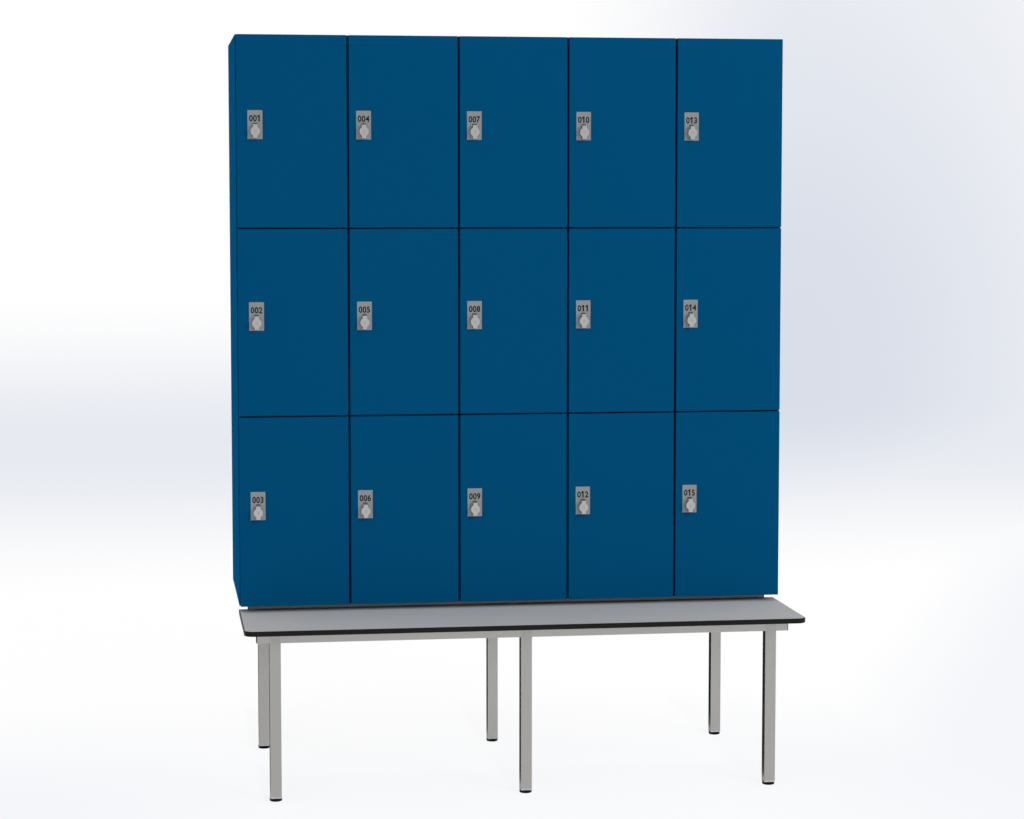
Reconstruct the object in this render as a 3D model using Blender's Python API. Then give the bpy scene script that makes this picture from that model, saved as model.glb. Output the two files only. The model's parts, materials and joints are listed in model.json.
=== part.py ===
"""Locker with bench: fifteen small lockers on a square-tube frame with a seat board.

The object stands on z = 0 with its front towards -Y. The origin is the middle of its footprint.
All values are metres. Every piece is its own object, named as a person would name it:

- the carcass: two sides, top, bottom, back, four partitions and two shelves
- fifteen doors, each with a lock case and a lock knob, which turns a cam behind the door
- the bench: a welded frame on six glides, two bearers under the carcass, and the seat board

The doors turn on steel pins at the right. Each pin stands on a leaf in the gap between two doors,
and the leaf is set in the front edge of the panel behind it.
"""

import math

import bmesh
import bpy
from mathutils import Matrix, Vector

# The carcass
COLUMNS = 5
TIERS = 3
CARCASS_WIDTH = 1.500
CARCASS_HEIGHT = 1.540
CARCASS_DEPTH = 0.500
PANEL = 0.019
BACK_PANEL = 0.008
BACK_REBATE = 0.009
PANEL_EDGE_ROUND = 0.0006

# The doors
DOOR_THICKNESS = 0.018
DOOR_TO_CARCASS = 0.003
DOOR_GAP_ACROSS = 0.006
DOOR_GAP_UP = 0.004
DOOR_REVEAL = 0.0005
DOOR_EDGE_ROUND = 0.001

# The pivot hinges
PIVOT_TO_DOOR_EDGE = 0.006
PIN_RADIUS = 0.0025
PIN_LENGTH = 0.012
LEAF_THICKNESS = 0.002
LEAF_EYE_RADIUS = 0.005
LEAF_ROOT_DEPTH = 0.001
MORTISE_SPACE_UP = 0.001
MORTISE_SPACE_FRONT = 0.0015
MORTISE_SPACE_SIDE = 0.0035

# The locks
LOCK_TO_PANEL = 0.0327
PLATE_WIDTH = 0.040
PLATE_HEIGHT = 0.077
PLATE_THICKNESS = 0.0012
PLATE_BEVEL = 0.0004
PLATE_ABOVE_KNOB = 0.0174
SLOT_RADIUS_IN = 0.0188
SLOT_RADIUS_OUT = 0.0226
SLOT_HALF_ANGLE = 17.5
SLOT_DEPTH = 0.0007
BARREL_RADIUS = 0.0095
BARREL_PROUD = 0.002
NUT_RIM = 0.0025
NUT_THICKNESS = 0.004
SPINDLE_RADIUS = 0.004
KNOB_RADIUS = 0.0128
KNOB_HEIGHT = 0.0168
KNOB_BEVEL = 0.0008
GRIP_WIDTH = 0.0119
GRIP_LENGTH = 0.037
CAM_ENGAGEMENT = 0.0095
CAM_WIDTH = 0.016
CAM_THICKNESS = 0.0025
CAM_SCREW_RADIUS = 0.005
CAM_SCREW_HEIGHT = 0.003
STRIKE_CLEARANCE = 0.0015

# The bench
TOTAL_DEPTH = 0.825
TUBE = 0.030
TUBE_WALL = 0.002
TUBE_ROUND = 0.0025
FRAME_HEIGHT = 0.4525
FRAME_INSET_DEPTH = 0.070
LEG_INSET_ACROSS = 0.0675
RAIL_INSET_ACROSS = 0.034
BEARER_INSET_ACROSS = 0.027
BEARER_BEHIND_DOORS = 0.071
GLIDE_RADIUS = 0.0145
GLIDE_HEIGHT = 0.008
GLIDE_PLUG = 0.006
GLIDE_ROUND = 0.002
SEAT_THICKNESS = 0.0135
SEAT_CORNER_RADIUS = 0.025
SEAT_EDGE_ROUND = 0.0015

# How far a cutting shape reaches past what it cuts
CUT_PAST = 0.020

# Fits
CLEARANCE = 0.0003
PIN_CLEARANCE = 0.0003
BARREL_CLEARANCE = 0.0004
SPINDLE_CLEARANCE = 0.0003

# Facets of the round pieces, and the angle in degrees above which an edge is sharp
SHARP_ANGLE = 35
PIN_SIDES = 10
EYE_STEPS = 6
SPINDLE_SIDES = 12
BARREL_SIDES = 16
KNOB_STEPS = 7
SLOT_STEPS = 3
GLIDE_SIDES = 14
CAM_STEPS = 4
CORNER_STEPS = 6

# Heights that follow
BEARER_BOTTOM = FRAME_HEIGHT + CLEARANCE
CARCASS_BOTTOM = BEARER_BOTTOM + TUBE + CLEARANCE
CARCASS_TOP = CARCASS_BOTTOM + CARCASS_HEIGHT
SEAT_BOTTOM = FRAME_HEIGHT + CLEARANCE
TIER_HEIGHT = (CARCASS_HEIGHT - (TIERS + 1) * PANEL) / TIERS

# Depths that follow, front to back
SEAT_FRONT = -TOTAL_DEPTH / 2
CARCASS_BACK = TOTAL_DEPTH / 2
CARCASS_FRONT = CARCASS_BACK - CARCASS_DEPTH
DOOR_BACK = CARCASS_FRONT - DOOR_TO_CARCASS
DOOR_FRONT = DOOR_BACK - DOOR_THICKNESS
PIVOT_Y = (DOOR_FRONT + DOOR_BACK) / 2
BEARER_FRONT = DOOR_FRONT + BEARER_BEHIND_DOORS
FRAME_FRONT = SEAT_FRONT + FRAME_INSET_DEPTH
FRAME_BACK = CARCASS_BACK - FRAME_INSET_DEPTH

# Widths that follow
HALF_WIDTH = CARCASS_WIDTH / 2
COLUMN_PITCH = CARCASS_WIDTH / COLUMNS
INNER_HALF_WIDTH = HALF_WIDTH - PANEL
LEG_X = HALF_WIDTH - LEG_INSET_ACROSS - TUBE / 2

# Depths of the lock, from the front of the door to the end of the cam
PLATE_FRONT = DOOR_FRONT - CLEARANCE - PLATE_THICKNESS
KNOB_BACK = PLATE_FRONT - CLEARANCE
KNOB_FRONT = KNOB_BACK - KNOB_HEIGHT
NUT_FRONT = DOOR_BACK + CLEARANCE
BARREL_END = NUT_FRONT + NUT_THICKNESS + BARREL_PROUD
CAM_FRONT = BARREL_END + CLEARANCE
CAM_BACK = CAM_FRONT + CAM_THICKNESS
CAM_LENGTH = LOCK_TO_PANEL + CAM_ENGAGEMENT

# The mortise in a door that hides a leaf
MORTISE_DEPTH = LEAF_THICKNESS + 2 * MORTISE_SPACE_UP
MORTISE_FRONT = PIVOT_Y - LEAF_EYE_RADIUS - MORTISE_SPACE_FRONT

# Finishes: colour, roughness and metallic
BLUE_BOARD = ((0.012, 0.070, 0.165, 1.0), 0.45, 0.0)
SEAT_LAMINATE = ((0.31, 0.32, 0.34, 1.0), 0.5, 0.0)
GREY_TUBE = ((0.36, 0.355, 0.335, 1.0), 0.4, 0.2)
LOCK_GREY = ((0.33, 0.33, 0.33, 1.0), 0.35, 0.6)
KNOB_GREY = ((0.50, 0.50, 0.49, 1.0), 0.35, 0.3)


def clear_scene():
    """Remove the objects that the scene starts with."""
    for item in list(bpy.data.objects):
        bpy.data.objects.remove(item, do_unlink=True)


def paint(item, finish):
    """Give an object its own Principled material, from a finish's three values."""
    colour, roughness, metallic = finish
    material = bpy.data.materials.new(item.name)
    material.use_nodes = True
    shader = material.node_tree.nodes["Principled BSDF"]
    shader.inputs["Base Color"].default_value = colour
    shader.inputs["Roughness"].default_value = roughness
    shader.inputs["Metallic"].default_value = metallic
    material.diffuse_color = colour
    item.data.materials.clear()
    item.data.materials.append(material)


def place(name, mesh, origin=(0, 0, 0), parent=None):
    """Make an object of a mesh drawn in world space, with its origin at the given point."""
    mesh.transform(Matrix.Translation(-Vector(origin)))
    mesh.name = name
    item = bpy.data.objects.new(name, mesh)
    bpy.context.collection.objects.link(item)
    if parent is None:
        item.location = origin
    else:
        item.parent = parent
        item.location = Vector(origin) - parent.location
    mesh.shade_smooth()
    mesh.set_sharp_from_angle(angle=math.radians(SHARP_ANGLE))
    return item


def mesh_of(shape):
    """Turn a bmesh into a mesh with its faces pointing out."""
    bmesh.ops.recalc_face_normals(shape, faces=shape.faces)
    mesh = bpy.data.meshes.new("shape")
    shape.to_mesh(mesh)
    shape.free()
    return mesh


def box(x, y, z, edge_round=0.0, keep=None):
    """A box between pairs of limits, with rounded edges where keep(edge) says so."""
    shape = bmesh.new()
    bmesh.ops.create_cube(shape, size=1.0)
    size = Vector((x[1] - x[0], y[1] - y[0], z[1] - z[0]))
    middle = Vector((x[0] + x[1], y[0] + y[1], z[0] + z[1])) / 2
    bmesh.ops.scale(shape, vec=size, verts=shape.verts)
    bmesh.ops.translate(shape, vec=middle, verts=shape.verts)
    if edge_round > 0:
        edges = [edge for edge in shape.edges if keep is None or keep(edge)]
        bmesh.ops.bevel(shape, geom=edges, offset=edge_round, segments=1, affect="EDGES")
    return mesh_of(shape)


def prism(outline, low, high, axis="Z"):
    """A flat outline of (a, b) points drawn out between two levels of an axis.

    The outline lies in X and Y for axis Z, and in X and Z for axis Y.
    """
    shape = bmesh.new()
    if axis == "Z":
        points = [(a, b, low) for a, b in outline]
        travel = Vector((0, 0, high - low))
    else:
        points = [(a, low, b) for a, b in outline]
        travel = Vector((0, high - low, 0))
    face = shape.faces.new([shape.verts.new(point) for point in points])
    drawn = bmesh.ops.extrude_face_region(shape, geom=[face])
    moved = [item for item in drawn["geom"] if isinstance(item, bmesh.types.BMVert)]
    bmesh.ops.translate(shape, vec=travel, verts=moved)
    return mesh_of(shape)


def arc(centre, radius, start, end, steps):
    """Points along an arc, angles in degrees."""
    points = []
    for step in range(steps + 1):
        angle = math.radians(start + (end - start) * step / steps)
        points.append((centre[0] + radius * math.cos(angle), centre[1] + radius * math.sin(angle)))
    return points


def circle(centre, radius, sides, turn=0.0):
    """Points round a circle."""
    return arc(centre, radius, turn, turn + 360 * (sides - 1) / sides, sides - 1)


def helper(mesh):
    """A short-lived object for a Boolean."""
    item = bpy.data.objects.new("helper", mesh)
    bpy.context.collection.objects.link(item)
    return item


def combine(base, others, operation):
    """Join meshes to a base mesh, or cut them from it, one after the other."""
    for other in others:
        first = helper(base)
        second = helper(other)
        modifier = first.modifiers.new("combine", "BOOLEAN")
        modifier.solver = "EXACT"
        modifier.operation = operation
        modifier.object = second
        bpy.context.view_layer.update()
        evaluated = first.evaluated_get(bpy.context.evaluated_depsgraph_get())
        base = bpy.data.meshes.new_from_object(evaluated)
        bpy.data.objects.remove(first)
        bpy.data.objects.remove(second)
    return base


def cut(base, tools):
    return combine(base, tools, "DIFFERENCE")


def join(base, others):
    return combine(base, others, "UNION")


def pitch_line(column):
    """The X of the middle of the gap at the left of a column, counted from 0."""
    return (column - COLUMNS / 2) * COLUMN_PITCH


def shelf_level(index):
    """The Z of the middle of a level board: 0 is the bottom panel and TIERS the top panel."""
    return CARCASS_BOTTOM + PANEL / 2 + index * (TIER_HEIGHT + PANEL)


def door_sides(column):
    """The X of a door's left and right edges."""
    return pitch_line(column) + DOOR_GAP_ACROSS / 2, pitch_line(column + 1) - DOOR_GAP_ACROSS / 2


def door_ends(tier):
    """The Z of a door's bottom and top edges, tier 0 being the lowest."""
    bottom = shelf_level(tier) + DOOR_GAP_UP / 2
    top = shelf_level(tier + 1) - DOOR_GAP_UP / 2
    if tier == 0:
        bottom = CARCASS_BOTTOM + DOOR_REVEAL
    if tier == TIERS - 1:
        top = CARCASS_TOP - DOOR_REVEAL
    return bottom, top


def pivot_x(column):
    """The X of the hinge axis, near the door's right edge."""
    return door_sides(column)[1] - PIVOT_TO_DOOR_EDGE


def panel_face_left_of(column):
    """The X of the face that a locker's left side shows inside."""
    if column == 0:
        return -INNER_HALF_WIDTH
    return pitch_line(column) + PANEL / 2


def lock_x(column):
    """The X of the lock's axis."""
    return panel_face_left_of(column) + LOCK_TO_PANEL


def lock_z(tier):
    """The Z of the lock's axis: half way up the door."""
    return sum(door_ends(tier)) / 2


def leaf_level(index):
    """The Z of the middle of a hinge leaf at a level board."""
    inside = DOOR_REVEAL + MORTISE_DEPTH / 2
    if index == 0:
        return CARCASS_BOTTOM + inside
    if index == TIERS:
        return CARCASS_TOP - inside
    return shelf_level(index)


def hinge_leaf(column, index, panel):
    """A steel leaf with its pins, which reaches forward from the front edge of a panel.

    panel is the pair of X limits between which the leaf's root stays. Where the axis stands at the
    panel's left face, as on a partition, the root stays right of that face.
    """
    axis = pivot_x(column)
    root_y = CARCASS_FRONT + LEAF_ROOT_DEPTH
    root_left = max(axis - LEAF_EYE_RADIUS, panel[0] + CLEARANCE)
    root_right = min(root_left + 2 * LEAF_EYE_RADIUS, panel[1] - CLEARANCE)
    outline = arc((axis, PIVOT_Y), LEAF_EYE_RADIUS, 180, 360, EYE_STEPS)
    outline += [(root_right, CARCASS_FRONT - DOOR_TO_CARCASS / 2), (root_right, root_y)]
    outline += [(root_left, root_y), (root_left, CARCASS_FRONT - DOOR_TO_CARCASS / 2)]
    middle = leaf_level(index)
    leaf = prism(outline, middle - LEAF_THICKNESS / 2, middle + LEAF_THICKNESS / 2)
    reach = LEAF_THICKNESS / 2 + PIN_LENGTH
    low = middle if index == 0 else middle - reach
    high = middle if index == TIERS else middle + reach
    pin = prism(circle((axis, PIVOT_Y), PIN_RADIUS, PIN_SIDES), low, high)
    return join(leaf, [pin])


def strike_slot(column, tier):
    """The pocket in a panel's right face that takes the cam of the lock beside it."""
    face = panel_face_left_of(column)
    axis_z = lock_z(tier)
    entry = LOCK_TO_PANEL / CAM_LENGTH
    drop = CAM_LENGTH * math.sqrt(1 - entry * entry) + CAM_WIDTH / 2 + STRIKE_CLEARANCE
    return box(
        (face - (CAM_LENGTH - LOCK_TO_PANEL) - STRIKE_CLEARANCE, face + PANEL / 2),
        (CAM_FRONT - STRIKE_CLEARANCE, CAM_BACK + STRIKE_CLEARANCE),
        (axis_z - drop, axis_z + CAM_WIDTH / 2 + STRIKE_CLEARANCE),
    )


def back_rebate():
    """The space for the back panel, with its clearance, that the outer panels give way to."""
    inner_low = CARCASS_BOTTOM + PANEL
    inner_high = CARCASS_TOP - PANEL
    return box(
        (-INNER_HALF_WIDTH - BACK_REBATE, INNER_HALF_WIDTH + BACK_REBATE),
        (CARCASS_BACK - BACK_PANEL - CLEARANCE, CARCASS_BACK + CUT_PAST),
        (inner_low - BACK_REBATE, inner_high + BACK_REBATE),
    )


def make_sides():
    """The two full-height sides: the left one takes cams, the right one carries hinge leaves."""
    height = (CARCASS_BOTTOM, CARCASS_TOP)
    depth = (CARCASS_FRONT, CARCASS_BACK)
    left = box((-HALF_WIDTH, -INNER_HALF_WIDTH), depth, height, PANEL_EDGE_ROUND)
    left = cut(left, [back_rebate()] + [strike_slot(0, tier) for tier in range(TIERS)])
    right = box((INNER_HALF_WIDTH, HALF_WIDTH), depth, height, PANEL_EDGE_ROUND)
    right = cut(right, [back_rebate()])
    limits = (INNER_HALF_WIDTH, HALF_WIDTH)
    leaves = [hinge_leaf(COLUMNS - 1, index, limits) for index in range(TIERS + 1)]
    right = join(right, leaves)
    for name, mesh in (("side_left", left), ("side_right", right)):
        paint(place(name, mesh), BLUE_BOARD)


def make_top_and_bottom():
    """The top and bottom panels, between the sides, with the hinge leaves of the inner columns."""
    across = (-INNER_HALF_WIDTH + CLEARANCE, INNER_HALF_WIDTH - CLEARANCE)
    depth = (CARCASS_FRONT, CARCASS_BACK)
    for name, index in (("bottom_panel", 0), ("top_panel", TIERS)):
        middle = shelf_level(index)
        board = box(across, depth, (middle - PANEL / 2, middle + PANEL / 2), PANEL_EDGE_ROUND)
        board = cut(board, [back_rebate()])
        leaves = [hinge_leaf(column, index, across) for column in range(COLUMNS - 1)]
        paint(place(name, join(board, leaves)), BLUE_BOARD)


def make_back():
    """The back panel, in the rebate of the four outer panels."""
    reach = BACK_REBATE - CLEARANCE
    panel = box(
        (-INNER_HALF_WIDTH - reach, INNER_HALF_WIDTH + reach),
        (CARCASS_BACK - BACK_PANEL, CARCASS_BACK),
        (CARCASS_BOTTOM + PANEL - reach, CARCASS_TOP - PANEL + reach),
    )
    paint(place("back_panel", panel), BLUE_BOARD)


def make_partitions():
    """The partitions, notched from the back for the shelves and slotted for the cams."""
    rear = CARCASS_BACK - BACK_PANEL - 2 * CLEARANCE
    halfway = (CARCASS_FRONT + rear) / 2
    for number in range(1, COLUMNS):
        middle = pitch_line(number)
        across = (middle - PANEL / 2, middle + PANEL / 2)
        board = box(
            across,
            (CARCASS_FRONT, rear),
            (CARCASS_BOTTOM + PANEL + CLEARANCE, CARCASS_TOP - PANEL - CLEARANCE),
            PANEL_EDGE_ROUND,
        )
        notches = [
            box(
                (middle - CUT_PAST, middle + CUT_PAST),
                (halfway - CLEARANCE / 2, rear + CUT_PAST),
                (shelf_level(index) - PANEL / 2 - CLEARANCE, shelf_level(index) + PANEL / 2 + CLEARANCE),
            )
            for index in range(1, TIERS)
        ]
        slots = [strike_slot(number, tier) for tier in range(TIERS)]
        leaves = [hinge_leaf(number - 1, index, across) for index in range(1, TIERS)]
        board = join(cut(board, notches + slots), leaves)
        paint(place(f"partition_{number}", board), BLUE_BOARD)


def make_shelves():
    """The shelves, notched from the front for the partitions."""
    rear = CARCASS_BACK - BACK_PANEL - 2 * CLEARANCE
    halfway = (CARCASS_FRONT + rear) / 2
    for name, index in (("shelf_lower", 1), ("shelf_upper", 2)):
        middle = shelf_level(index)
        board = box(
            (-INNER_HALF_WIDTH + CLEARANCE, INNER_HALF_WIDTH - CLEARANCE),
            (CARCASS_FRONT, rear),
            (middle - PANEL / 2, middle + PANEL / 2),
            PANEL_EDGE_ROUND,
        )
        notches = [
            box(
                (pitch_line(number) - PANEL / 2 - CLEARANCE, pitch_line(number) + PANEL / 2 + CLEARANCE),
                (CARCASS_FRONT - CUT_PAST, halfway + CLEARANCE / 2),
                (middle - CUT_PAST, middle + CUT_PAST),
            )
            for number in range(1, COLUMNS)
        ]
        paint(place(name, cut(board, notches)), BLUE_BOARD)


def door_mesh(column, tier):
    """A door with its pin holes, its lock hole and, at the carcass's ends, a mortise for the leaf."""
    left, right = door_sides(column)
    bottom, top = door_ends(tier)
    axis = pivot_x(column)
    board = box((left, right), (DOOR_FRONT, DOOR_BACK), (bottom, top), DOOR_EDGE_ROUND)
    hole = PIN_RADIUS + PIN_CLEARANCE
    reach = LEAF_THICKNESS / 2 + PIN_LENGTH + CLEARANCE
    low = leaf_level(tier) + reach
    high = leaf_level(tier + 1) - reach
    tools = [
        prism(circle((axis, PIVOT_Y), hole, PIN_SIDES), bottom - CUT_PAST, low),
        prism(circle((axis, PIVOT_Y), hole, PIN_SIDES), high, top + CUT_PAST),
        prism(
            circle((lock_x(column), lock_z(tier)), BARREL_RADIUS + BARREL_CLEARANCE, BARREL_SIDES),
            DOOR_FRONT - CUT_PAST,
            DOOR_BACK + CUT_PAST,
            "Y",
        ),
    ]
    ends = []
    if tier == 0:
        ends.append((bottom - CUT_PAST, bottom + MORTISE_DEPTH))
    if tier == TIERS - 1:
        ends.append((top - MORTISE_DEPTH, top + CUT_PAST))
    for end in ends:
        tools.append(
            box(
                (axis - LEAF_EYE_RADIUS - MORTISE_SPACE_SIDE, right + CUT_PAST),
                (MORTISE_FRONT, DOOR_BACK + CUT_PAST),
                end,
            )
        )
    return cut(board, tools)


def lock_case_mesh(column, tier):
    """The lock's housing: plate with an arc slot, barrel through the door, nut behind it."""
    x = lock_x(column)
    z = lock_z(tier)
    plate_z = z + PLATE_ABOVE_KNOB
    plate = box(
        (x - PLATE_WIDTH / 2, x + PLATE_WIDTH / 2),
        (PLATE_FRONT, DOOR_FRONT - CLEARANCE),
        (plate_z - PLATE_HEIGHT / 2, plate_z + PLATE_HEIGHT / 2),
        PLATE_BEVEL,
        lambda edge: all(vert.co.y < PLATE_FRONT + PLATE_THICKNESS / 2 for vert in edge.verts),
    )
    low = 90 - SLOT_HALF_ANGLE
    high = 90 + SLOT_HALF_ANGLE
    slot_outline = arc((x, z), SLOT_RADIUS_OUT, low, high, SLOT_STEPS)
    slot_outline += arc((x, z), SLOT_RADIUS_IN, high, low, SLOT_STEPS)
    slot = prism(slot_outline, PLATE_FRONT - CUT_PAST, PLATE_FRONT + SLOT_DEPTH, "Y")
    overlap = PLATE_THICKNESS / 2
    barrel = prism(circle((x, z), BARREL_RADIUS, BARREL_SIDES), DOOR_FRONT - overlap, BARREL_END, "Y")
    nut_radius = (BARREL_RADIUS + NUT_RIM) / math.cos(math.pi / 6)
    nut = prism(circle((x, z), nut_radius, 6), NUT_FRONT, NUT_FRONT + NUT_THICKNESS, "Y")
    bore = prism(
        circle((x, z), SPINDLE_RADIUS + SPINDLE_CLEARANCE, SPINDLE_SIDES),
        PLATE_FRONT - CUT_PAST,
        BARREL_END + CUT_PAST,
        "Y",
    )
    return cut(join(plate, [barrel, nut]), [slot, bore])


def knob_mesh(x, z):
    """The knob in front of the plate: a disc with a bar across it, its front edges broken."""
    half = GRIP_WIDTH / 2
    reach = GRIP_LENGTH / 2
    corner = math.degrees(math.acos(half / KNOB_RADIUS))
    outline = [(x + half, z + reach), (x - half, z + reach)]
    outline += arc((x, z), KNOB_RADIUS, 180 - corner, 180 + corner, KNOB_STEPS)
    outline += [(x - half, z - reach), (x + half, z - reach)]
    outline += arc((x, z), KNOB_RADIUS, -corner, corner, KNOB_STEPS)
    shape = bmesh.new()
    shape.from_mesh(prism(outline, KNOB_FRONT, KNOB_BACK, "Y"))
    level = KNOB_FRONT + CLEARANCE
    edges = [edge for edge in shape.edges if all(vert.co.y < level for vert in edge.verts)]
    bmesh.ops.bevel(shape, geom=edges, offset=KNOB_BEVEL, segments=1, affect="EDGES")
    return mesh_of(shape)


def lock_knob_mesh(column, tier):
    """The turning part of the lock: knob, spindle and the cam with its screw."""
    x = lock_x(column)
    z = lock_z(tier)
    knob_middle = (KNOB_FRONT + KNOB_BACK) / 2
    cam_middle = CAM_FRONT + CAM_THICKNESS / 2
    spindle = prism(circle((x, z), SPINDLE_RADIUS, SPINDLE_SIDES), knob_middle, cam_middle, "Y")
    half = CAM_WIDTH / 2
    cam_outline = arc((x, z), half, 0, 180, CAM_STEPS)
    cam_outline += arc((x - half / 2, z - CAM_LENGTH + half / 2), half / 2, 180, 270, CAM_STEPS // 2)
    cam_outline += arc((x + half / 2, z - CAM_LENGTH + half / 2), half / 2, 270, 360, CAM_STEPS // 2)
    cam = prism(cam_outline, CAM_FRONT, CAM_BACK, "Y")
    head_back = CAM_BACK + CAM_SCREW_HEIGHT
    screw = prism(circle((x, z), CAM_SCREW_RADIUS, SPINDLE_SIDES), cam_middle, head_back, "Y")
    return join(knob_mesh(x, z), [spindle, cam, screw])


def make_doors():
    """The doors, each on its hinge axis, with its lock case and the knob on its own axis."""
    for column in range(COLUMNS):
        for tier in range(TIERS):
            number = column * TIERS + TIERS - tier
            hinge = (pivot_x(column), PIVOT_Y, door_ends(tier)[0])
            door = place(f"door_{number:02d}", door_mesh(column, tier), hinge)
            paint(door, BLUE_BOARD)
            axis = (lock_x(column), DOOR_FRONT, lock_z(tier))
            case = place(f"lock_case_{number:02d}", lock_case_mesh(column, tier), axis, door)
            paint(case, LOCK_GREY)
            knob = place(f"lock_knob_{number:02d}", lock_knob_mesh(column, tier), axis, door)
            paint(knob, KNOB_GREY)


def tube_bar(x, y, z):
    """A length of square tube as a bar with rounded long edges."""
    sizes = (x[1] - x[0], y[1] - y[0], z[1] - z[0])
    along = sizes.index(max(sizes))

    def is_long(edge):
        run = edge.verts[1].co - edge.verts[0].co
        return abs(run[along]) > TUBE

    return box(x, y, z, TUBE_ROUND, is_long)


def glide_mesh(x, y):
    """A round glide under a leg, with its lower rim broken and its plug inside the tube."""
    disc = prism(circle((x, y), GLIDE_RADIUS, GLIDE_SIDES), 0, GLIDE_HEIGHT + GLIDE_PLUG)
    shape = bmesh.new()
    shape.from_mesh(disc)
    rim = [edge for edge in shape.edges if max(vert.co.z for vert in edge.verts) < GLIDE_HEIGHT / 2]
    bmesh.ops.bevel(shape, geom=rim, offset=GLIDE_ROUND, segments=1, affect="EDGES")
    return mesh_of(shape)


def make_bench_frame():
    """The welded frame: two long rails, a cross rail at each pair of legs, and six glides."""
    top = FRAME_HEIGHT
    under = top - TUBE
    rail_end = HALF_WIDTH - RAIL_INSET_ACROSS
    rails = [(FRAME_FRONT, FRAME_FRONT + TUBE), (FRAME_BACK - TUBE, FRAME_BACK)]
    bars = [tube_bar((-rail_end, rail_end), depth, (under, top)) for depth in rails]
    for x in (-LEG_X, 0.0, LEG_X):
        across = (x - TUBE / 2, x + TUBE / 2)
        cross = tube_bar(across, (FRAME_FRONT + TUBE / 2, FRAME_BACK - TUBE / 2), (under, top))
        bars.append(cross)
        for depth in rails:
            bars.append(tube_bar(across, depth, (GLIDE_HEIGHT, top - TUBE / 2)))
            bars.append(glide_mesh(x, sum(depth) / 2))
    paint(place("bench_frame", join(bars[0], bars[1:])), GREY_TUBE)


def make_bearers():
    """The two bearers that carry the carcass on the frame: open lengths of square tube."""
    reach = HALF_WIDTH - BEARER_INSET_ACROSS
    middle_z = BEARER_BOTTOM + TUBE / 2
    fronts = {"bearer_front": BEARER_FRONT, "bearer_back": FRAME_BACK - TUBE}
    for name, front in fronts.items():
        outer = tube_bar((-reach, reach), (front, front + TUBE), (BEARER_BOTTOM, BEARER_BOTTOM + TUBE))
        inner = box(
            (-reach - CUT_PAST, reach + CUT_PAST),
            (front + TUBE_WALL, front + TUBE - TUBE_WALL),
            (middle_z - TUBE / 2 + TUBE_WALL, middle_z + TUBE / 2 - TUBE_WALL),
        )
        paint(place(name, cut(outer, [inner])), GREY_TUBE)


def make_seat():
    """The seat board, as wide as the carcass, which lies on the frame in front of the bearer."""
    rear = BEARER_FRONT - CLEARANCE
    radius = SEAT_CORNER_RADIUS
    reach = HALF_WIDTH
    outline = arc((-reach + radius, SEAT_FRONT + radius), radius, 180, 270, CORNER_STEPS)
    outline += arc((reach - radius, SEAT_FRONT + radius), radius, 270, 360, CORNER_STEPS)
    outline += [(reach, rear), (-reach, rear)]
    board = prism(outline, SEAT_BOTTOM, SEAT_BOTTOM + SEAT_THICKNESS)
    shape = bmesh.new()
    shape.from_mesh(board)
    flat = [edge for edge in shape.edges if abs(edge.verts[0].co.z - edge.verts[1].co.z) < CLEARANCE]
    bmesh.ops.bevel(shape, geom=flat, offset=SEAT_EDGE_ROUND, segments=1, affect="EDGES")
    paint(place("seat_board", mesh_of(shape)), SEAT_LAMINATE)


def main():
    """Build every piece of the locker and its bench."""
    clear_scene()
    make_sides()
    make_top_and_bottom()
    make_back()
    make_partitions()
    make_shelves()
    make_doors()
    make_bench_frame()
    make_bearers()
    make_seat()


main()
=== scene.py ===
"""Locker with bench: the looks of fifteen small lockers on a square-tube bench with a seat board.

The object stands on z = 0 with its front towards -Y, in metres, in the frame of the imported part.
Each class makes or dresses one sub-assembly, and main() builds them in order.
"""

from __future__ import annotations

import json
import logging
import math
from collections.abc import Callable, Iterable, Sequence
from dataclasses import dataclass, field, replace
from enum import Enum

import bmesh
import bpy
from mathutils import Matrix, Vector

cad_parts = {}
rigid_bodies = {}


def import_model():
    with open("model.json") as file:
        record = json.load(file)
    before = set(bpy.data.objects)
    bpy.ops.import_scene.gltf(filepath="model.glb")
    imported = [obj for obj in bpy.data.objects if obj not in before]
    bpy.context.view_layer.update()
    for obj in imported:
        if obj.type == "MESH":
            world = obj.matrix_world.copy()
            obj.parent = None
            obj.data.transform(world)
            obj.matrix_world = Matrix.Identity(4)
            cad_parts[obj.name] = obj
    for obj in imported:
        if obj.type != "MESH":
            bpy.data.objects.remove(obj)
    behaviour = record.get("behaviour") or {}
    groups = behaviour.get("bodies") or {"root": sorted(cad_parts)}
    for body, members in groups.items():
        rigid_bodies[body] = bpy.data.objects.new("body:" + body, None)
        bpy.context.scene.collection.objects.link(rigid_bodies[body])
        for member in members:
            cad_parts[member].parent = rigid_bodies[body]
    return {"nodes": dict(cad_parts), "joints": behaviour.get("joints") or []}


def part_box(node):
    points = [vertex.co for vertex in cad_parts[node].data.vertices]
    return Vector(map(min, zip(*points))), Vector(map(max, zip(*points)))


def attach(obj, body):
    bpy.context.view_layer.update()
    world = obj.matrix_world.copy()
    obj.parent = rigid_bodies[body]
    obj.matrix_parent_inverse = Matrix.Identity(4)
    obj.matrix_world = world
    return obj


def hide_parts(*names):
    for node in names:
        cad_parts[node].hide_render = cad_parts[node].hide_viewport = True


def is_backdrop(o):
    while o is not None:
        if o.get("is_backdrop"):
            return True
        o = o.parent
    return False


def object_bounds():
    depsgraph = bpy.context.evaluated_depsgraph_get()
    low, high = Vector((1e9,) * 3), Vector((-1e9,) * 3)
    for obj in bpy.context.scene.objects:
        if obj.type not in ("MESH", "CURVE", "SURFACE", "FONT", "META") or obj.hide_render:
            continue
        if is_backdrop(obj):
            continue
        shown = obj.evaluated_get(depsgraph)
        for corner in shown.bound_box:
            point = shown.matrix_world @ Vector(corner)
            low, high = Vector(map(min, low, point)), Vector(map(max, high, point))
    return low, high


LOG = logging.getLogger("locker_with_bench")

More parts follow.
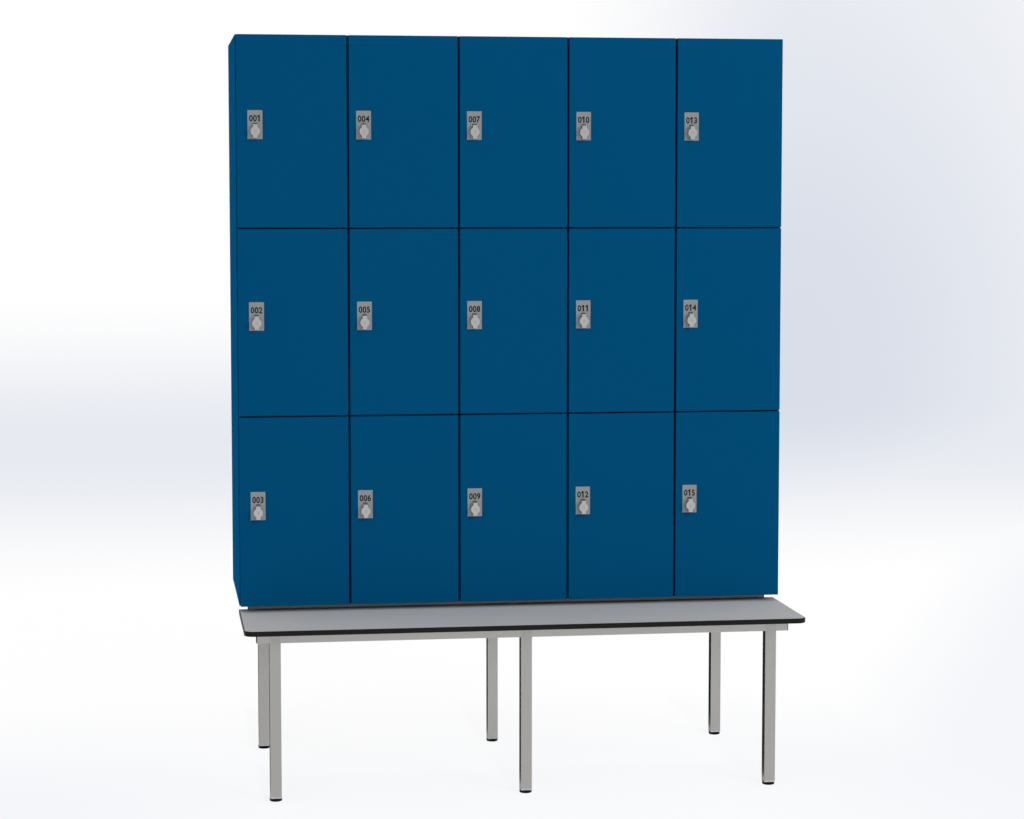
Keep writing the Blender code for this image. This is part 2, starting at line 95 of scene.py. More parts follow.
SHARP_ANGLE = math.radians(35)
STRAIGHT = 0.999
MILLIMETRE = 0.001
CABINET = "cabinet"
COLUMNS = 5
TIERS = 3
NUMBERS = range(1, COLUMNS * TIERS + 1)
WHITE = (1.0, 1.0, 1.0)

Pair = tuple[float, float]
Point = tuple[float, float, float]
Colour = tuple[float, float, float]
Corner = Sequence[float]
Mesh = bpy.types.Mesh
Shape = bmesh.types.BMesh
Material = bpy.types.Material
Node = bpy.types.Node
Outputs = bpy.types.NodeOutputs
Socket = bpy.types.NodeSocket
Value = float | Socket
Given = dict[str | int, Value | Colour]
Parts = dict[str, bpy.types.Object]
EdgeTest = Callable[[bmesh.types.BMEdge], bool]


class Slot(Enum):
    """The record's material slots of the CAD nodes that the scene's own pieces replace; no piece here is
    given one.
    """

    SEAT = "seat_laminate"
    TUBE = "grey_tube"
    KNOB = "knob_grey"


class Axis(Enum):
    """The direction that a turned or drawn piece runs along."""

    X = 0
    Y = 1
    Z = 2

    def turn(self) -> Matrix:
        """The turn that brings +Z to this axis.

        Returns:
            The turn.
        """
        if self is Axis.X:
            return Matrix.Rotation(math.radians(90), 4, "Y")
        if self is Axis.Y:
            return Matrix.Rotation(math.radians(-90), 4, "X")
        return Matrix.Identity(4)


# Shapes


def to_mesh(shape: Shape) -> Mesh:
    """Turn a bmesh into a mesh, smooth but for its sharp edges, and free it.

    Args:
        shape: The bmesh.

    Returns:
        The mesh.
    """
    mesh = bpy.data.meshes.new("shape")
    shape.to_mesh(mesh)
    shape.free()
    mesh.shade_smooth()
    mesh.set_sharp_from_angle(angle=SHARP_ANGLE)
    return mesh


def closed_mesh(shape: Shape) -> Mesh:
    """Turn a bmesh into a mesh whose faces point outwards, and free it.

    Args:
        shape: The bmesh.

    Returns:
        The mesh.
    """
    bmesh.ops.remove_doubles(shape, verts=shape.verts, dist=1e-6)
    bmesh.ops.recalc_face_normals(shape, faces=shape.faces)
    return to_mesh(shape)


def joined(meshes: Sequence[Mesh]) -> Mesh:
    """Several meshes, all in place, as one.

    Args:
        meshes: The meshes.

    Returns:
        One mesh.
    """
    shape = bmesh.new()
    for mesh in meshes:
        shape.from_mesh(mesh)
    return to_mesh(shape)


def soften(shape: Shape, parts: Iterable, width: float, steps: int, affect: str = "EDGES") -> None:
    """Round some edges or corners of a bmesh.

    Args:
        shape: The bmesh.
        parts: The edges or vertices to round.
        width: How far the rounding reaches from each.
        steps: How many facets make the rounding.
        affect: EDGES or VERTICES.
    """
    geom = list(parts)
    bmesh.ops.bevel(shape, geom=geom, offset=width, segments=steps, profile=0.5, affect=affect, material=-1)


def draw_out(shape: Shape, step: Point) -> None:
    """Make a solid of a flat shape.

    Args:
        shape: The bmesh, which holds flat faces only.
        step: How far the faces are drawn, and in which direction.
    """
    drawn = bmesh.ops.extrude_face_region(shape, geom=shape.faces[:])
    moved = [item for item in drawn["geom"] if isinstance(item, bmesh.types.BMVert)]
    bmesh.ops.translate(shape, vec=step, verts=moved)


def raw_block(low: Corner, high: Corner) -> Shape:
    """A block between two corners, still open to more work.

    Args:
        low: The lowest corner.
        high: The highest corner.

    Returns:
        The bmesh.
    """
    shape = bmesh.new()
    bmesh.ops.create_cube(shape, size=1.0)
    low, high = Vector(low), Vector(high)
    bmesh.ops.scale(shape, vec=high - low, verts=shape.verts)
    bmesh.ops.translate(shape, vec=(low + high) / 2, verts=shape.verts)
    return shape


def block(low: Corner, high: Corner, width: float, steps: int = 2, keep: EdgeTest | None = None) -> Mesh:
    """A block with rounded edges.

    Args:
        low: The lowest corner.
        high: The highest corner.
        width: How far the rounding reaches.
        steps: How many facets make it.
        keep: Says which edges are rounded, or None for all.

    Returns:
        The mesh.
    """
    shape = raw_block(low, high)
    soften(shape, [edge for edge in shape.edges if keep is None or keep(edge)], width, steps)
    return closed_mesh(shape)


def runs_along(axis: Axis) -> EdgeTest:
    """A test for edges that run along an axis.

    Args:
        axis: The axis.

    Returns:
        The test.
    """

    def test(edge: bmesh.types.BMEdge) -> bool:
        """Tell whether the edge runs along the axis."""
        run = edge.verts[1].co - edge.verts[0].co
        return abs(run[axis.value]) > STRAIGHT * run.length

    return test


def turned(profile: Sequence[Pair], centre: Corner, axis: Axis, steps: int = 24) -> Mesh:
    """A turned piece.

    Args:
        profile: Pairs of radius and level along the axis, from one end to the other.
        centre: Where level 0 of the axis is.
        axis: The direction of the axis.
        steps: How many facets go round.

    Returns:
        The mesh, closed where the profile starts and ends at radius 0.
    """
    shape = bmesh.new()
    verts = [shape.verts.new((radius, 0, level)) for radius, level in profile]
    edges = [shape.edges.new(pair) for pair in zip(verts, verts[1:])]
    bmesh.ops.spin(
        shape, geom=verts + edges, cent=(0, 0, 0), axis=(0, 0, 1),
        angle=math.tau, steps=steps, use_merge=True,
    )
    bmesh.ops.transform(shape, matrix=Matrix.Translation(Vector(centre)) @ axis.turn(), verts=shape.verts)
    return closed_mesh(shape)


def disc_profile(radius: float, low: float, high: float, rim: float) -> list[Pair]:
    """The profile of a disc whose rims are broken at both ends."""
    start = [(0, low), (radius - rim, low), (radius, low + rim)]
    return start + [(radius, high - rim), (radius - rim, high), (0, high)]


def linked(name: str, data: bpy.types.ID) -> bpy.types.Object:
    """A new object in the scene.

    Args:
        name: Its name.
        data: Its mesh, curve, lamp or camera.

    Returns:
        The object.
    """
    item = bpy.data.objects.new(name, data)
    bpy.context.scene.collection.objects.link(item)
    return item


def put(
    name: str,
    mesh: Mesh,
    materials: Sequence[Material],
    body: str = CABINET,
    stands_for: Sequence[str] = (),
) -> None:
    """Make a finished piece of a mesh that is already in place.

    Args:
        name: The piece's name.
        mesh: Its mesh.
        materials: Its materials, in the order of the faces' indices.
        body: The body that carries it.
        stands_for: The CAD nodes that it replaces.
    """
    mesh.name = name
    item = linked(name, mesh)
    for material in materials:
        mesh.materials.append(material)
    normals = item.modifiers.new("flat faces stay flat", "WEIGHTED_NORMAL")
    normals.keep_sharp = True
    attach(item, body)
    if stands_for:
        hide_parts(*stands_for)


def dress(item: bpy.types.Object, material: Material) -> None:
    """Put one material on every face of a CAD node."""
    item.data.materials.clear()
    item.data.materials.append(material)


# Finishes


class Nodes:
    """Places and links the nodes of one tree."""

    def __init__(self, tree: bpy.types.NodeTree) -> None:
        """Work on a tree."""
        self.tree = tree

    def fill(self, node: Node, given: Given) -> Node:
        """Link inputs of a node, by name or number, to sockets, or set their values.

        Args:
            node: The node.
            given: The sockets and values.

        Returns:
            The node.
        """
        for key, value in given.items():
            socket = node.inputs[key]
            if isinstance(value, Socket):
                self.tree.links.new(value, socket)
            elif isinstance(value, tuple) and len(socket.default_value) == 4:
                socket.default_value = (*value, 1.0)
            else:
                socket.default_value = value
        return node

    def add(self, kind: str, given: Given | None = None, **settings: object) -> Node:
        """Add a node, set its properties and fill its inputs.

        Args:
            kind: The node's type.
            given: What its inputs get.
            settings: What its properties get.

        Returns:
            The node.
        """
        node = self.tree.nodes.new(kind)
        for key, value in settings.items():
            setattr(node, key, value)
        return self.fill(node, given or {})

    def point(self) -> Socket:
        """The Object coordinates."""
        return self.add("ShaderNodeTexCoord").outputs["Object"]

    def place(self) -> Outputs:
        """The Object coordinates, as the outputs X, Y and Z."""
        return self.add("ShaderNodeSeparateXYZ", {0: self.point()}).outputs

    def math(self, operation: str, first: Value, second: Value = 0.0, clamp: bool = False) -> Socket:
        """A Math node's result."""
        node = self.add("ShaderNodeMath", {0: first, 1: second}, operation=operation, use_clamp=clamp)
        return node.outputs[0]

    def times(self, first: Value, second: Value, clamp: bool = False) -> Socket:
        """A product."""
        return self.math("MULTIPLY", first, second, clamp)

    def between(self, value: Value, *span: float) -> Socket:
        """A value that runs smoothly over a span.

        Args:
            value: The value.
            span: The span's start and end, then what the result runs from and to, if not from 0 to 1.

        Returns:
            The result.
        """
        given = dict(zip(("Value", "From Min", "From Max", "To Min", "To Max"), (value, *span)))
        return self.add("ShaderNodeMapRange", given, interpolation_type="SMOOTHSTEP").outputs["Result"]

    def mix(self, factor: Value, first: Value | Colour, second: Value | Colour) -> Socket:
        """A mix of two colours."""
        given = {0: factor, 6: first, 7: second}
        return self.add("ShaderNodeMix", given, data_type="RGBA", clamp_factor=True).outputs[2]

    def mix_shaders(self, factor: Value, first: Socket, second: Socket) -> Socket:
        """A mix of two shaders."""
        return self.add("ShaderNodeMixShader", {0: factor, 1: first, 2: second}).outputs[0]

    def noise(self, scale: Value, detail: float) -> Socket:
        """A noise between 0 and 1."""
        given = {"Vector": self.point(), "Scale": scale, "Detail": detail}
        return self.add("ShaderNodeTexNoise", given).outputs["Fac"]


def new_material(name: str) -> tuple[Material, Nodes]:
    """A new material and its nodes.

    Args:
        name: Its name.

    Returns:
        The material and its nodes.
    """
    material = bpy.data.materials.new(name)
    material.use_nodes = True
    return material, Nodes(material.node_tree)


@dataclass
class Effects:
    """The node groups that several finishes share, each built once."""

    sheen_swing: float = 0.06
    edge_radius: float = 0.0012
    edge_bend: Pair = (0.995, 0.9)
    patch_scale: float = 35.0
    patch_fade: Pair = (0.4, 0.7)
    patch_least: float = 0.35

    def __post_init__(self) -> None:
        """Build the groups."""
        self.surface = self._surface()
        self.edges = self._edges()

    @staticmethod
    def _group(name: str, inputs: Sequence[str], outputs: Sequence[str]) -> tuple[Nodes, Outputs, Node]:
        """Start a group. A socket called Colour takes a colour, and any other takes a number.

        Args:
            name: The group's name.
            inputs: The names of its inputs.
            outputs: The names of its outputs.

        Returns:
            The group's nodes, what it is given, and the node that takes its results.
        """
        tree = bpy.data.node_groups.new(name, "ShaderNodeTree")
        for direction, labels in (("INPUT", inputs), ("OUTPUT", outputs)):
            for label in labels:
                kind = "NodeSocketColor" if label == "Colour" else "NodeSocketFloat"
                tree.interface.new_socket(label, in_out=direction, socket_type=kind)
        nodes = Nodes(tree)
        return nodes, nodes.add("NodeGroupInput").outputs, nodes.add("NodeGroupOutput")

    def _surface(self) -> bpy.types.NodeTree:
        """Soft colour variation, changing sheen and a fine grain.

        Returns:
            The group.
        """
        inputs = ("Colour", "Mottle", "Mottle Scale", "Roughness", "Grain Scale")
        nodes, given, result = self._group("surface", inputs, ("Colour", "Roughness", "Height"))
        grain = nodes.noise(given["Grain Scale"], 2.0)
        cloud = nodes.noise(given["Mottle Scale"], 4.0)
        swing = nodes.times(nodes.math("SUBTRACT", cloud, 0.5), 2.0)
        both = nodes.math("ADD", swing, nodes.math("SUBTRACT", grain, 0.5))
        factor = nodes.math("ADD", 1.0, nodes.times(both, given["Mottle"]))
        tinted = nodes.add("ShaderNodeVectorMath", {0: given["Colour"], "Scale": factor}, operation="SCALE")
        rough = nodes.math("ADD", given["Roughness"], nodes.times(swing, self.sheen_swing), True)
        nodes.fill(result, {"Colour": tinted.outputs[0], "Roughness": rough, "Height": grain})
        return nodes.tree

    def _edges(self) -> bpy.types.NodeTree:
        """A mask that is 1 on worn edges and 0 on flat faces.

        Returns:
            The group.
        """
        nodes, given, result = self._group("worn_edges", ["Amount"], ["Mask"])
        rounded = nodes.add("ShaderNodeBevel", {"Radius": self.edge_radius}, samples=4)
        normals = {0: rounded.outputs["Normal"], 1: nodes.add("ShaderNodeNewGeometry").outputs["Normal"]}
        facing = nodes.add("ShaderNodeVectorMath", normals, operation="DOT_PRODUCT")
        bend = nodes.between(facing.outputs["Value"], *self.edge_bend)
        patches = nodes.noise(self.patch_scale, 3.0)
        patches = nodes.between(patches, *self.patch_fade, self.patch_least, 1.0)
        nodes.fill(result, {"Mask": nodes.times(nodes.times(bend, patches), given["Amount"], True)})
        return nodes.tree


@dataclass(frozen=True)
class Finish:
    """A procedural finish: colour, gloss, grain and worn edges."""

    name: str
    colour: Colour
    roughness: float
    metallic: float = 0.0
    specular: float = 0.5
    mottle: float = 0.03
    mottle_scale: float = 5.0
    grain_scale: float = 900.0
    grain_depth: float = 0.00003
    wear: float = 0.2
    worn_colour: Colour = (0.5, 0.5, 0.5)

    def base(self, effects: Effects) -> tuple[Material, Nodes, Node, Socket]:
        """Start the material.

        Args:
            effects: The shared groups.

        Returns:
            The material, its nodes, its shader and the socket of its varied colour.
        """
        material, nodes = new_material(self.name)
        material.diffuse_color = (*self.colour, 1.0)
        look = {
            "Colour": self.colour,
            "Mottle": self.mottle,
            "Mottle Scale": self.mottle_scale,
            "Roughness": self.roughness,
            "Grain Scale": self.grain_scale,
        }
        surface = nodes.add("ShaderNodeGroup", look, node_tree=effects.surface).outputs
        edges = nodes.add("ShaderNodeGroup", {"Amount": self.wear}, node_tree=effects.edges)
        colour = nodes.mix(edges.outputs["Mask"], surface["Colour"], self.worn_colour)
        bump = nodes.add("ShaderNodeBump", {"Distance": self.grain_depth, "Height": surface["Height"]})
        coat = {
            "Base Color": colour,
            "Roughness": surface["Roughness"],
            "Normal": bump.outputs["Normal"],
            "Metallic": self.metallic,
            "Specular IOR Level": self.specular,
        }
        return material, nodes, nodes.fill(nodes.tree.nodes["Principled BSDF"], coat), colour

    def material(self, effects: Effects) -> Material:
        """The finished material."""
        return self.base(effects)[0]


@dataclass(frozen=True)
class LeafFinish(Finish):
    """Board whose steel hinge leaves stand in front of its front edge."""

    board_front: float = 0.0
    margin: float = 0.0002
    steel: Colour = (0.025, 0.026, 0.028)
    steel_roughness: float = 0.38

    def material(self, effects: Effects) -> Material:
        """The board's finish, with steel in front of the board's front edge.

        Args:
            effects: The shared groups.

        Returns:
            The material.
        """
        material, nodes, shader, colour = self.base(effects)
        in_front = nodes.math("LESS_THAN", nodes.place()["Y"], self.board_front - self.margin)
        dull = nodes.times(in_front, self.steel_roughness - self.roughness)
        leaf = {
            "Base Color": nodes.mix(in_front, colour, self.steel),
            "Metallic": in_front,
            "Roughness": nodes.math("ADD", dull, self.roughness),
        }
        nodes.fill(shader, leaf)
        return material


@dataclass(frozen=True)
class CoreFinish(Finish):
    """The pressed core of a compact board, with faint layers along its height."""

    layer: float = 0.0011
    layer_share: float = 0.08

    def material(self, effects: Effects) -> Material:
        """The core's finish with its layers.

        Args:
            effects: The shared groups.

        Returns:
            The material.
        """
        material, nodes, shader, colour = self.base(effects)
        wave = nodes.math("SINE", nodes.times(nodes.place()["Z"], math.tau / self.layer))
        share = nodes.math("ADD", nodes.times(wave, self.layer_share), self.layer_share)
        nodes.fill(shader, {"Base Color": nodes.mix(share, colour, self.worn_colour)})
        return material


class Materials:
    """Every finish of the object, as materials."""

    def __init__(self, board_front: float) -> None:
        """Make the materials.

        Args:
            board_front: The Y of the carcass boards' front edges.
        """
        effects = Effects()
        blue = {
            "colour": (0.0008, 0.0684, 0.1720), "roughness": 0.55, "specular": 0.0, "mottle": 0.025,
            "mottle_scale": 3.0, "grain_scale": 1400.0, "wear": 0.10, "worn_colour": (0.03, 0.14, 0.27),
        }
        leaves = LeafFinish("blue_laminate_with_leaves", board_front=board_front, **blue)
        tube = Finish(
            "grey_powder_coat", (0.416, 0.408, 0.389), roughness=0.36, metallic=0.75, mottle_scale=9.0,
            grain_scale=1100.0, grain_depth=0.00006, wear=0.18, worn_colour=(0.46, 0.455, 0.44),
        )
        # The rails are the same powder coat as the tube, painted lighter: painted light against the shade
        # under the seat.
        rail = replace(tube, name="grey_powder_coat_rail_painted_light", colour=(0.466, 0.457, 0.436))
        ink = Finish(
            "number_ink", (0.010, 0.009, 0.008), roughness=0.6, specular=0.1, mottle=0.08,
            mottle_scale=120.0, wear=0.0,
        )
        self.board = Finish("blue_laminate", **blue).material(effects)
        self.panel = leaves.material(effects)
        self.seat = Finish(
            "grey_laminate", (0.522, 0.524, 0.530), roughness=0.5, specular=0.0, mottle_scale=7.0,
            grain_scale=700.0, wear=0.0,
        ).material(effects)
        self.core = CoreFinish(
            "black_core", (0.0085, 0.0090, 0.0080), roughness=0.5, specular=0.1, mottle=0.10,
            mottle_scale=60.0, grain_depth=0.00005, wear=0.25, worn_colour=(0.030, 0.029, 0.027),
        ).material(effects)
        self.tube = tube.material(effects)
        self.rail = rail.material(effects)
        self.black_plastic = Finish(
            "black_plastic", (0.003, 0.003, 0.0033), roughness=0.55, specular=0.12, mottle=0.1,
            grain_depth=0.00005, worn_colour=(0.014, 0.014, 0.014),
        ).material(effects)
        self.collar = Finish(
            "pale_grey_plastic", (0.56, 0.57, 0.62), roughness=0.45, specular=0.4, wear=0.1,
            worn_colour=(0.7, 0.7, 0.7),
        ).material(effects)
        self.plate = Finish(
            "lock_plate_grey", (0.256, 0.269, 0.277), roughness=0.38, metallic=0.3, mottle=0.04,
            mottle_scale=40.0, grain_scale=1500.0, wear=0.3, worn_colour=(0.40, 0.40, 0.40),
        ).material(effects)
        self.knob = Finish(
            "satin_knob_grey", (0.500, 0.497, 0.487), roughness=0.36, metallic=0.85, mottle_scale=30.0,
            grain_scale=1600.0, wear=0.25, worn_colour=(0.56, 0.56, 0.56),
        ).material(effects)
        self.knob_core = Finish(
            "knob_centre_grey", (0.440, 0.444, 0.440), roughness=0.4, metallic=0.85, mottle_scale=60.0,
        ).material(effects)
        self.ink = ink.material(effects)
        # The slot shade is painted shade: a near-black tone for the arc slot above each knob.
        self.slot_shade = replace(ink, name="slot_shade", colour=(0.060, 0.058, 0.056)).material(effects)
        self.steel = Finish(
            "zinc_plated_steel", (0.47, 0.475, 0.47), roughness=0.34, metallic=1.0, mottle=0.07,
            mottle_scale=45.0, wear=0.3, worn_colour=(0.62, 0.62, 0.60),
        ).material(effects)


# Sub-assemblies


@dataclass
class Assembly:
    """A part of the object, with the CAD nodes and the finishes at hand."""

    nodes: Parts
    materials: Materials


@dataclass
class Carcass(Assembly):
    """The carcass boards and what is fixed to them."""

    boards: tuple[str, ...] = ("side_left", "back_panel", "shelf_lower", "shelf_upper")
    boards_with_leaves: tuple[str, ...] = ("side_right", "top_panel", "bottom_panel")
    screw_radius: float = 0.0035
    screw_rim: float = 0.0001
    screw_cone: float = 0.0012
    screw_depth: float = 0.0015
    socket_radius: float = 0.0016
    screw_relief: float = 0.00002
    screw_inset: float = 0.009
    screws_across: int = 7
    screws_up: int = 7

    def dress(self) -> None:
        """Give the CAD boards their finish."""
        for name in self.boards:
            dress(self.nodes[name], self.materials.board)
        partitions = [f"partition_{number}" for number in range(1, COLUMNS)]
        for name in (*self.boards_with_leaves, *partitions):
            dress(self.nodes[name], self.materials.panel)

    def screws(self) -> None:
        """Set flat-headed screws with six-sided sockets round the back panel."""
        low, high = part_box("back_panel")
        relief, edge, depth = self.screw_relief, self.screw_radius, self.screw_depth
        head = [
            (0, relief), (edge - self.screw_rim, relief), (edge, -relief), (edge - self.screw_cone, -depth),
            (0, -depth),
        ]
        socket = disc_profile(self.socket_radius, relief, 2 * relief, relief / 4)
        left, right = low.x + self.screw_inset, high.x - self.screw_inset
        bottom, top = low.z + self.screw_inset, high.z - self.screw_inset
        spots = []
        for index in range(self.screws_across):
            x = left + (right - left) * index / (self.screws_across - 1)
            spots += [(x, bottom), (x, top)]
        for index in range(1, self.screws_up - 1):
            z = bottom + (top - bottom) * index / (self.screws_up - 1)
            spots += [(left, z), (right, z)]
        for name, profile, steps, material in (
            ("back_panel_screws", head, 20, self.materials.steel),
            ("back_panel_screw_sockets", socket, 6, self.materials.black_plastic),
        ):
            meshes = [turned(profile, (x, high.y, z), Axis.Y, steps) for x, z in spots]
            put(name, joined(meshes), [material])


@dataclass
class EndCaps:
    """The plastic caps in the open ends of a square tube that runs along X."""

    thickness: float = 0.002
    rounding: float = 0.0012

    def mesh(self, low: Corner, high: Corner) -> Mesh:
        """Two caps, just outside the ends of a tube.

        Args:
            low: The tube's lowest corner.
            high: The tube's highest corner.

        Returns:
            Both caps as one mesh.
        """
        ends = ((low[0] - self.thickness, low[0]), (high[0], high[0] + self.thickness))
        caps = [block((start, *low[1:]), (stop, *high[1:]), self.rounding) for start, stop in ends]
        return joined(caps)


@dataclass
class Bench(Assembly):
    """The welded frame of square tube with its glides, caps and weld seams."""

    tube: float = 0.030
    tube_round: float = 0.0012
    round_steps: int = 4
    flush: float = 0.00003
    leg_inset: float = 0.0485
    leg_below_top: float = 0.004
    glide_height: float = 0.008
    glide_radius: float = 0.0165
    collar_height: float = 0.0045
    collar_round: float = 0.0008
    weld_radius: float = 0.0021
    weld_inset: float = 0.003
    weld_steps: int = 18
    weld_end: float = 0.6
    weld_ripple: float = 0.08
    seams: list[Mesh] = field(default_factory=list)

    def rails(self) -> dict[str, float]:
        """The Y of the middle of each long rail."""
        low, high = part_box("bench_frame")
        return {"front": low.y + self.tube / 2, "back": high.y - self.tube / 2}

    def columns(self) -> dict[str, float]:
        """The X of the middle of each pair of legs."""
        leg_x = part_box("bench_frame")[1].x - self.leg_inset
        return {"left": -leg_x, "middle": 0.0, "right": leg_x}

    def bar(self, low: Point, high: Point, axis: Axis) -> Mesh:
        """A length of tube as a bar with rounded corners."""
        return block(low, high, self.tube_round, self.round_steps, runs_along(axis))

    def build(self) -> None:
        """Make the frame and everything on it."""
        low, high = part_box("bench_frame")
        top = high.z
        under = top - self.tube
        half = self.tube / 2
        caps = EndCaps()
        reach = high.x - caps.thickness
        stands_for = ["bench_frame"]
        for side, y in self.rails().items():
            start, stop = (-reach, y - half, under), (reach, y + half, top)
            rail = self.bar(start, stop, Axis.X)
            # The rails take the copy of the powder coat with painted light.
            put(f"rail_{side}", rail, [self.materials.rail], stands_for=stands_for)
            stands_for = []
            put(f"rail_caps_{side}", caps.mesh(start, stop), [self.materials.black_plastic])
        for place, x in self.columns().items():
            start, stop = (x - half, low.y + self.tube, under), (x + half, high.y - self.tube, top)
            put(f"cross_rail_{place}", self.bar(start, stop, Axis.Y), [self.materials.tube])
            for side, y in self.rails().items():
                self.leg(f"{side}_{place}", x, y, top)
        put("weld_seams", joined(self.seams), [self.materials.tube])

    def leg(self, name: str, x: float, y: float, top: float) -> None:
        """Make one leg with its collar, its glide and its weld seams.

        Args:
            name: Which leg it is.
            x: The X of its middle.
            y: The Y of its middle.
            top: The top of the rail above it.
        """
        half = self.tube / 2
        proud = half + self.flush
        foot = self.glide_height + self.collar_height
        stop = (x + half, y + proud, top - self.leg_below_top)
        tube = self.bar((x - half, y - proud, foot), stop, Axis.Z)
        put(f"leg_{name}", tube, [self.materials.tube])
        collar = block((x - half, y - half, self.glide_height), (x + half, y + half, foot), self.collar_round)
        put(f"leg_collar_{name}", collar, [self.materials.collar])
        radius, height = self.glide_radius, self.glide_height
        profile = [
            (0, 0), (radius - 0.0022, 0), (radius - 0.0009, 0.0005), (radius - 0.0002, 0.0015),
            (radius, 0.0028), (radius, height), (0, height),
        ]
        put(f"glide_{name}", turned(profile, (x, y, 0), Axis.Z, 32), [self.materials.black_plastic])
        under = top - self.tube
        run = half - self.weld_inset
        for edge in (x - half, x + half):
            self.seams.append(self.bead((edge, y - run, under), (edge, y + run, under)))

    def bead(self, start: Point, end: Point) -> Mesh:
        """A weld seam between two points, with the ripples of its runs.

        Args:
            start: One end.
            end: The other end.

        Returns:
            The mesh.
        """
        steps = self.weld_steps
        run = Vector(end) - Vector(start)
        radius = self.weld_radius
        shape = bmesh.new()
        bmesh.ops.create_circle(shape, cap_ends=True, segments=8, radius=radius * self.weld_end)
        face = shape.faces[:]
        for step in range(1, steps + 1):
            grown = bmesh.ops.extrude_face_region(shape, geom=face)
            bmesh.ops.delete(shape, geom=face, context="FACES_ONLY")
            ring = [item for item in grown["geom"] if isinstance(item, bmesh.types.BMVert)]
            face = [item for item in grown["geom"] if isinstance(item, bmesh.types.BMFace)]
            level = run.length * step / steps
            bmesh.ops.translate(shape, vec=(0, 0, run.length / steps), verts=ring)
            wave = 1 - self.weld_ripple + self.weld_ripple * math.cos(math.pi * step)
            share = self.weld_end if step == steps else wave
            factor = radius * share / (ring[0].co - Vector((0, 0, level))).length
            space = Matrix.Translation((0, 0, -level))
            bmesh.ops.scale(shape, vec=(factor, factor, 1), verts=ring, space=space)
        bmesh.ops.holes_fill(shape, edges=shape.edges)
        turn = run.to_track_quat("Z", "Y").to_matrix().to_4x4()
        bmesh.ops.transform(shape, matrix=Matrix.Translation(Vector(start)) @ turn, verts=shape.verts)
        return closed_mesh(shape)


@dataclass
class Bearers(Assembly):
    """The two open tubes under the carcass, with caps in their ends."""

    names: tuple[str, ...] = ("bearer_front", "bearer_back")

    def build(self) -> None:
        """Dress the bearers and close their ends."""
        for name in self.names:
            dress(self.nodes[name], self.materials.tube)
            put(f"{name}_caps", EndCaps().mesh(*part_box(name)), [self.materials.black_plastic])


@dataclass
class Seat(Assembly):
    """The seat board: laminate on both faces of a black pressed core."""

    corner: float = 0.025
    edge: float = 0.0022
    corner_steps: int = 10
    edge_steps: int = 4

    def build(self) -> None:
        """Make the board with its rounded front corners and edges."""
        low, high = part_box("seat_board")
        shape = raw_block(low, high)
        upright = runs_along(Axis.Z)
        front = [edge for edge in shape.edges if upright(edge) and edge.verts[0].co.y < low.y + MILLIMETRE]
        soften(shape, front, self.corner, self.corner_steps)
        rims = [edge for edge in shape.edges if not upright(edge)]
        soften(shape, rims, self.edge, self.edge_steps)
        mesh = closed_mesh(shape)
        for face in mesh.polygons:
            face.material_index = 0 if abs(face.normal.z) > STRAIGHT else 1
        finishes = [self.materials.seat, self.materials.core]
        put("seat_compact_board", mesh, finishes, stands_for=["seat_board"])


